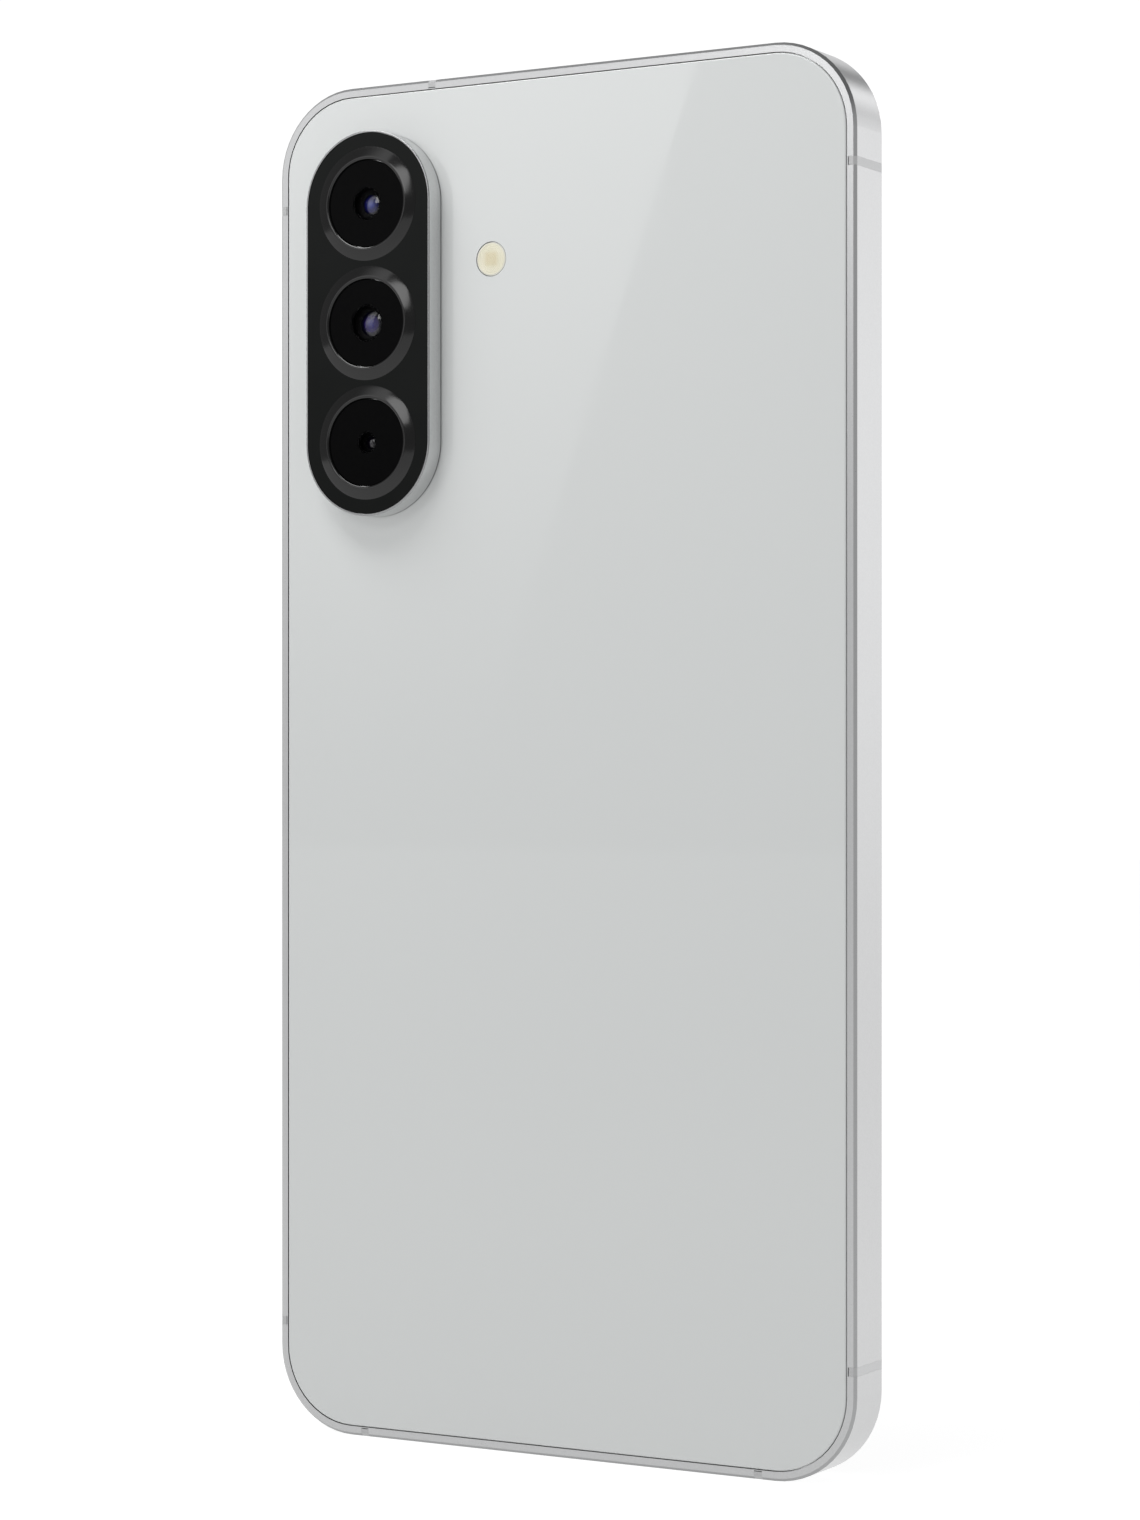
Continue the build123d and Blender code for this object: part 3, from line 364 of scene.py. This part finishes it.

# radius of the glass, the colour of its painted reflection in the middle and towards the edge, and how far
# out the painted reflection reaches
LENS_SHADES = {
    "ultrawide": (1.9, (0.028, 0.042, 0.22), (0.007, 0.008, 0.07), 1.05),
    "main": (2.4, (0.018, 0.018, 0.13), (0.012, 0.005, 0.07), 1.1),
    "macro": (1.2, (0.010, 0.008, 0.015), (0.003, 0.002, 0.005), 0.7),
}
DOME_STEPS, DOME_RISE, DOME_FALL = 12, 0.15, 0.45
for name, (radius, middle_reflection, edge_reflection, reflection_r) in LENS_SHADES.items():
    z = LENS_Z[name]
    coated = Finish(f"{name}_coated_lens", Roughness=0.04, IOR=1.6, Coat_Weight=0.12, Coat_Roughness=0.05)
    from_axis = coated.from_axis(ISLAND_X, z)
    # The base colour holds a painted blue reflection of the coating, strongest in the middle and fading to
    # black further out.
    reflection_tone = coated.blend(from_axis.rise(0.0, reflection_r * 0.8), middle_reflection, edge_reflection)
    reflection_tone = coated.blend(from_axis.rise(reflection_r * 0.75, reflection_r * 1.15), reflection_tone, (0.002, 0.002, 0.006))
    coated.set("Base Color", reflection_tone)
    dome = [(0.02 + radius * i / DOME_STEPS * 0.99,
             BARREL_TOP + DOME_RISE - DOME_FALL * (i / DOME_STEPS) ** 2) for i in range(DOME_STEPS + 1)]
    dome += [(radius * 1.01, BARREL_TOP - 0.46), (radius * 1.01, BARREL_TOP - 0.78)]
    body = "focus_barrel" if name == "main" else "phone"
    glass = turned(f"{name}_front_lens", ISLAND_X, z, dome, body, coated, closed=False)
    if name == "main":
        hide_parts("main_lens_glass")
    elif name == "ultrawide":
        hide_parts("lens_glasses")
    steps = [(radius * 0.62, BARREL_TOP - 0.02), (radius * 0.66, BARREL_TOP + 0.03),
             (radius + 0.5, BARREL_TOP + 0.12), (radius + 0.6, BARREL_TOP + 0.1),
             (radius + 0.6, BARREL_TOP + 0.01), (radius * 0.8, BARREL_TOP)]
    turned(f"{name}_baffle", ISLAND_X, z, steps, body, camera_black, sides=96)

# ------------------------------------------------------------------ flash
# A round clear window with fine rings moulded in it sits flush in the back glass, over a yellow phosphor
# chip.
FLASH_X = sum(v.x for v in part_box("flash_window")) / 2 / MM
FLASH_Z = sum(v.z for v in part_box("flash_window")) / 2 / MM
flash_clear = Finish("flash_window_clear", Roughness=0.16, IOR=1.5, Coat_Weight=0.5)
side, _, up = flash_clear.axes()
from_axis = flash_clear.from_axis(FLASH_X, FLASH_Z)
chip = abs(side - FLASH_X).most(abs(up - FLASH_Z))
RING_PITCH = 26.0  # radians of moulded ring per millimetre
rings = (from_axis * RING_PITCH).sine() * 0.5 + 0.5
pale = flash_clear.blend(from_axis.rise(0.4, 1.5), (0.56, 0.52, 0.37), (0.60, 0.575, 0.45))
pale = flash_clear.blend(chip.rise(0.5, 0.95), (0.54, 0.485, 0.33), pale)
pale = flash_clear.blend(from_axis.rise(1.7, 1.98), pale, (0.50, 0.495, 0.45))
flash_clear.set("Base Color", pale)
flash_clear.set("Normal", flash_clear.bump(rings, 0.03))
wear(flash_clear, "flash_window", "flash_led")

# ------------------------------------------------------------------ side keys
# Both keys are milled from the same aluminium as the frame, with rounded ends and a softened edge.
silver_key = blasted("silver_blasted_keys", (0.60, 0.603, 0.606), rough=0.22)
wear(silver_key, "power_key", "volume_key")

# ------------------------------------------------------------------ card tray
# The tray is an aluminium drawer for two cards. Its head is blasted like the frame, and a thin rubber seal
# runs round it just behind the head.
silver_tray = blasted("silver_tray", (0.60, 0.603, 0.606), rough=0.22)
wear(silver_tray, "sim_tray")
seal_rubber, _ = grained("seal_rubber", 8.0, 3.0,
                         (0.012, 0.012, 0.013), (0.03, 0.03, 0.031), Roughness=0.62)
wear(seal_rubber, "tray_seal", "usb_seal")

# ------------------------------------------------------------------ screen
# The front is one sheet of cover glass over a black display that is switched off. A black border is printed
# on the glass, with a small clear hole for the front camera and a notch for the earpiece.
glass_low, glass_high = (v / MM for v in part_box("screen_glass"))
FRONT_LENS_Z = (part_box("front_camera")[0].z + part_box("front_camera")[1].z) / 2 / MM
BORDER, CORNER = 1.75, 9.2
screen_glass = Finish("screen_cover_glass", IOR=1.5)
side, _, up = screen_glass.axes()
half_wide = (glass_high.x - glass_low.x) / 2 - BORDER
half_tall = (glass_high.z - glass_low.z) / 2 - BORDER
inner_r = CORNER - BORDER
past_x = (abs(side) - (half_wide - inner_r)).most(0.0)
past_z = (abs(up - (glass_high.z + glass_low.z) / 2) - (half_tall - inner_r)).most(0.0)
beyond = (past_x ** 2.0 + past_z ** 2.0).root() - inner_r
from_lens = screen_glass.from_axis(0.0, FRONT_LENS_Z)
panel = beyond.rise(0.04, -0.04) * from_lens.rise(1.78, 1.86)
CELLS = 41.0  # radians of display cell per millimetre
grid = (side * CELLS).sine() * (up * CELLS).sine() * 0.5 + 0.5
lit = screen_glass.blend(grid, (0.0042, 0.0044, 0.0052), (0.0056, 0.0058, 0.0066))
screen_glass.set("Base Color", screen_glass.blend(panel, (0.0014, 0.0014, 0.0015), lit))
fingers = screen_glass.noise(0.05, 5.0)
screen_glass.set("Roughness", fingers.rise(0.4, 0.75, 0.025, 0.075))
screen_glass.set("Alpha", from_lens.rise(1.35, 1.45, 0.06, 1.0))
wear(screen_glass, "screen_glass")

display_black, _ = grained("display_layers", 3.0, 2.0,
                           (0.004, 0.004, 0.005), (0.008, 0.008, 0.009), Roughness=0.3)
wear(display_black, "display_panel", "fingerprint_sensor")

front_coated = Finish("front_coated_lens", Roughness=0.04, IOR=1.6, Coat_Weight=0.6)
# The base colour holds a painted blue reflection of the coating in the middle of the lens.
painted_reflection_fade = front_coated.from_axis(0.0, FRONT_LENS_Z).rise(0.0, 0.6)
front_coated.set("Base Color", front_coated.blend(painted_reflection_fade, (0.06, 0.05, 0.30), (0.004, 0.003, 0.014)))
FRONT_STEPS, FRONT_APEX = 8, -2.82
front_dome = [(0.01 + 0.85 * i / FRONT_STEPS, FRONT_APEX + 0.1 * (i / FRONT_STEPS) ** 2)
              for i in range(FRONT_STEPS + 1)] + [(0.86, -2.69)]
turned("front_camera_lens", 0.0, FRONT_LENS_Z, front_dome, "phone", front_coated, closed=False)

# ------------------------------------------------------------------ meshes
# Fine woven steel cloth, dyed black, keeps dust out of the earpiece slot and the loudspeaker holes.
woven = Finish("black_woven_mesh", Metallic=0.7)
side, deep, up = woven.axes()
THREADS = 30.0  # radians of weave per millimetre
threads = (side * THREADS).sine() * (up * THREADS + deep * THREADS).sine() * 0.5 + 0.5
woven.set("Base Color", woven.blend(threads.rise(0.3, 0.7), (0.004, 0.004, 0.004), (0.07, 0.07, 0.072)))
woven.set("Roughness", 0.4 + 0.2 * threads)
woven.set("Normal", woven.bump(threads, 0.04))
wear(woven, "earpiece_mesh", "speaker_mesh")

# ------------------------------------------------------------------ charging port
# A drawn steel shell lines the opening. Inside it stands a black tongue with a row of gold contacts on each
# face, moulded round a steel midplate.
steel = Finish("drawn_steel", Metallic=1.0)
drawn = steel.noise(1.0, 3.0, steel.stretched(6 * PER_MM, 6 * PER_MM, 0.6 * PER_MM))
steel.set("Base Color", steel.blend(drawn, (0.40, 0.40, 0.41), (0.56, 0.56, 0.57)))
steel.set("Roughness", 0.22 + 0.16 * drawn)
wear(steel, "usb_shell", "camera_bracket", "sim_reader", "eject_rod", "eject_lever", "key_bracket",
     "key_domes", "front_shields", "back_shield", "haptic_case", "microphones")
tongue_black, _ = grained("port_tongue", 6.0, 2.0,
                          (0.008, 0.008, 0.008), (0.02, 0.02, 0.02), Roughness=0.5)
wear(tongue_black, "usb_tongue", "board_connectors")
gold, rub = grained("contact_gold", 7.0, 3.0, (0.80, 0.52, 0.16), (0.92, 0.66, 0.26), Metallic=1.0)
gold.set("Roughness", 0.2 + 0.15 * rub)
USB_Y = sum(v.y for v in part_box("usb_shell")) / 2 / MM
PADS, PAD_PITCH, HALF_PAD = 12, 0.5, 0.13
PAD_FOOT, PAD_FACE = 0.34, 0.375  # from the middle of the tongue
PAD_ENDS = (1.35, 5.9)  # height of both ends
pads, pad_faces = [], []
for face in (-1, 1):
    low_y, high_y = sorted((USB_Y + face * PAD_FOOT, USB_Y + face * PAD_FACE))
    for i in range(PADS):
        x = (i - (PADS - 1) / 2) * PAD_PITCH
        left, right = x - HALF_PAD, x + HALF_PAD
        first = len(pads)
        for z in PAD_ENDS:
            pads += [(left, low_y, z), (right, low_y, z), (right, high_y, z), (left, high_y, z)]
        pad_faces += [tuple(first + k for k in corner) for corner in
                      ((3, 2, 1, 0), (4, 5, 6, 7), (0, 1, 5, 4), (1, 2, 6, 5), (2, 3, 7, 6), (3, 0, 4, 7))]
piece("port_contacts", pads, pad_faces, "phone", gold)

# ------------------------------------------------------------------ inside
# The boards, battery, covers, tapes and small parts are closed in by the two glasses. They show only where
# the tray comes out and through the openings.
moulded_black, cover_grain = grained("moulded_cover", 3.0, 4.0,
                                     (0.01, 0.01, 0.011), (0.022, 0.022, 0.023), Roughness=0.5)
moulded_black.set("Normal", moulded_black.bump(cover_grain, 0.006))
wear(moulded_black, "upper_cover", "lower_cover", "loudspeaker", "earpiece_speaker")

solder_mask = Finish("green_board", Roughness=0.3)
cells = solder_mask.node("ShaderNodeTexVoronoi", {"feature": "DISTANCE_TO_EDGE"},
                         {"Vector": solder_mask.stretched(PER_MM, PER_MM, PER_MM), "Scale": 1.1})
tracks = cells.rise(0.02, 0.06)
solder_mask.set("Base Color", solder_mask.blend(tracks, (0.03, 0.12, 0.06), (0.006, 0.045, 0.025)))
solder_mask.set("Normal", solder_mask.bump(tracks, 0.02))
wear(solder_mask, "main_board", "sub_board")

chip_black, _ = grained("chip_moulding", 12.0, 2.0,
                        (0.012, 0.012, 0.013), (0.03, 0.03, 0.032), Roughness=0.55)
wear(chip_black, "processor", "board_chips")

tape, tape_cells = grained("foam_tape", 7.0, 3.0,
                           (0.012, 0.012, 0.012), (0.035, 0.035, 0.035), Roughness=0.8)
tape.set("Normal", tape.bump(tape_cells, 0.01))
wear(tape, "screen_adhesive", "back_adhesive", "deck_adhesive", "battery_adhesive", "thermal_pad")

graphite = Finish("graphite_sheet", Metallic=0.6)
pressed = graphite.noise(1.0, 4.0, graphite.stretched(0.3 * PER_MM, 0.3 * PER_MM, 2.5 * PER_MM))
graphite.set("Base Color", graphite.blend(pressed, (0.05, 0.05, 0.052), (0.1, 0.1, 0.104)))
graphite.set("Roughness", 0.35 + 0.2 * pressed)
wear(graphite, "heat_sheet", "display_backing")

pouch, wrinkle = grained("battery_wrap", 0.35, 4.0,
                         (0.016, 0.016, 0.018), (0.03, 0.03, 0.033), Roughness=0.35)
pouch.set("Normal", pouch.bump(wrinkle, 0.1))
wear(pouch, "battery")

flex_film = Finish("amber_flex", Roughness=0.28)
side, _, _ = flex_film.axes()
COPPER_LINES = 12.0  # radians of line and gap per millimetre
lines = (side * COPPER_LINES).sine().rise(-0.2, 0.2)
flex_film.set("Base Color", flex_film.blend(lines, (0.30, 0.12, 0.02), (0.48, 0.22, 0.05)))
wear(flex_film, "battery_flex", "board_flex", "key_flex")

zinc, zinc_cloud = grained("black_zinc_screws", 2.5, 3.0,
                           (0.10, 0.10, 0.11), (0.19, 0.19, 0.20), Metallic=1.0)
zinc.set("Roughness", 0.3 + 0.15 * zinc_cloud)
wear(zinc, "cover_screws")

tungsten, sinter = grained("sintered_tungsten", 10.0, 3.0,
                           (0.22, 0.21, 0.20), (0.34, 0.33, 0.31), Metallic=1.0)
tungsten.set("Roughness", 0.5 + 0.1 * sinter)
wear(tungsten, "haptic_mass")

# ------------------------------------------------------------------ stage, light and camera
# A pale floor in a white room, with two soft boxes and a few soft-edged light and dark cards round the walls.
# The camera is level, at the height of the middle of the phone. From there the room shows as plain white.
floor_mesh = bpy.data.meshes.new("studio_floor")
FLOOR = 2.5  # half its width
FLOOR_GAP = 0.00002  # just under the bottom edge
floor_mesh.from_pydata([(-FLOOR, -FLOOR, 0), (FLOOR, -FLOOR, 0), (FLOOR, FLOOR, 0), (-FLOOR, FLOOR, 0)], [],
                       [(0, 1, 2, 3)])
floor = bpy.data.objects.new("studio_floor", floor_mesh)
bpy.context.scene.collection.objects.link(floor)
floor.location.z = -FLOOR_GAP
paper = Finish("white_paper_floor", Roughness=0.9, Base_Color=(0.35, 0.35, 0.35),
               Emission_Color=(1.0, 1.0, 1.0), Emission_Strength=0.83, Specular_IOR_Level=0.0)
floor_mesh.materials.append(paper.material)

world = bpy.data.worlds.new("white_room")
bpy.context.scene.world = world
world.use_nodes = True


class Room(Finish):
    """The light that comes from each direction of the room, built with the same nodes as a finish."""

    def __init__(self, made):
        self.tree = made.node_tree
        self.skin = self.tree.nodes["Background"]
        self.sides = self.axes(self.node("ShaderNodeTexCoord", output="Generated"))

    def card(self, direction, start, end, light):
        """A soft-edged card: its full light within the end angle, and nothing wider than the start angle."""
        length = math.sqrt(sum(v * v for v in direction))
        x, y, z = self.sides
        along = (x * direction[0] + y * direction[1] + z * direction[2]) * (1 / length)
        return along.rise(math.cos(math.radians(start)), math.cos(math.radians(end)), 0.0, light)


room = Room(world)
room_x, room_y, room_z = room.sides
WALLS = 0.30
light = WALLS + room_y.rise(0.1, -0.5) * room_z.rise(1.0, 0.4, 0.35, 0.6)
CARDS = (  # direction, outer and inner angle in degrees, light added or taken away
    ((0.49, 0.87, 0.0), 22, 13, 0.46),  # facing the back glass
    ((-0.42, -0.88, 0.32), 32, 12, 0.42),  # over the screen side, seen in the side of the frame
    ((-0.34, -0.88, 0.36), 11, 4, -0.7),  # dark, light and dark bands in the frame's top corner
    ((-0.226, -0.88, 0.43), 10, 4, 0.6),
    ((-0.017, -0.88, 0.49), 10, 4, -1.0),
    ((-0.87, 0.50, 0.0), 34, 14, 0.6),  # seen in the cut edge of the frame
)
for direction, outer, inner, change in CARDS:
    light = light + room.card(direction, outer, inner, change)
# a large card with a straight slanting edge lights the upper part of the back glass
card_edge = (room_x * 0.814 - room_y * 0.498 + room_z * 0.300).rise(-0.0005, 0.0005)
card_fade = room_z.rise(-0.02, 0.2)
SLANT_CARD, DARKEST, BACKDROP = 1.3, 0.02, 1.05
light = (light + card_edge * card_fade * room_y.rise(0.55, 0.75) * SLANT_CARD).most(DARKEST)
seen = room.node("ShaderNodeLightPath", output="Is Camera Ray")
light = light.most(seen * BACKDROP)
room.set("Color", room.node("ShaderNodeCombineColor", None, {0: light, 1: light, 2: light * 1.004}))
room.set("Strength", 1.0)


def soft_box(name, place, target, width, height, watts):
    """A rectangular area light aimed at a point."""
    lamp = bpy.data.lights.new(name, "AREA")
    lamp.shape = "RECTANGLE"
    lamp.size, lamp.size_y, lamp.energy = width, height, watts
    made = bpy.data.objects.new(name, lamp)
    bpy.context.scene.collection.objects.link(made)
    made.location = place
    made.rotation_euler = (Vector(target) - Vector(place)).to_track_quat("-Z", "Y").to_euler()
    made.visible_camera = False


soft_box("overhead_box", (0.10, 0.15, 0.42), (0, 0, 0.13), 0.30, 0.12, 1.0)
soft_box("front_box", (0.078, 0.407, 0.313), (0.024, 0.006, 0.133), 0.15, 0.14, 0.29)

camera_data = bpy.data.cameras.new("camera")
camera_data.sensor_width = 36.0
camera_data.lens = 87.04
camera_data.clip_start = 0.01
camera = bpy.data.objects.new("camera", camera_data)
bpy.context.scene.collection.objects.link(camera)
CAMERA_TURN = math.radians(30.02)
camera.location = (-0.21584, 0.37373, 0.0813)
camera.rotation_euler = (math.pi / 2, 0.0, math.pi + CAMERA_TURN)
bpy.context.scene.camera = camera
bpy.context.scene.view_settings.view_transform = "Standard"
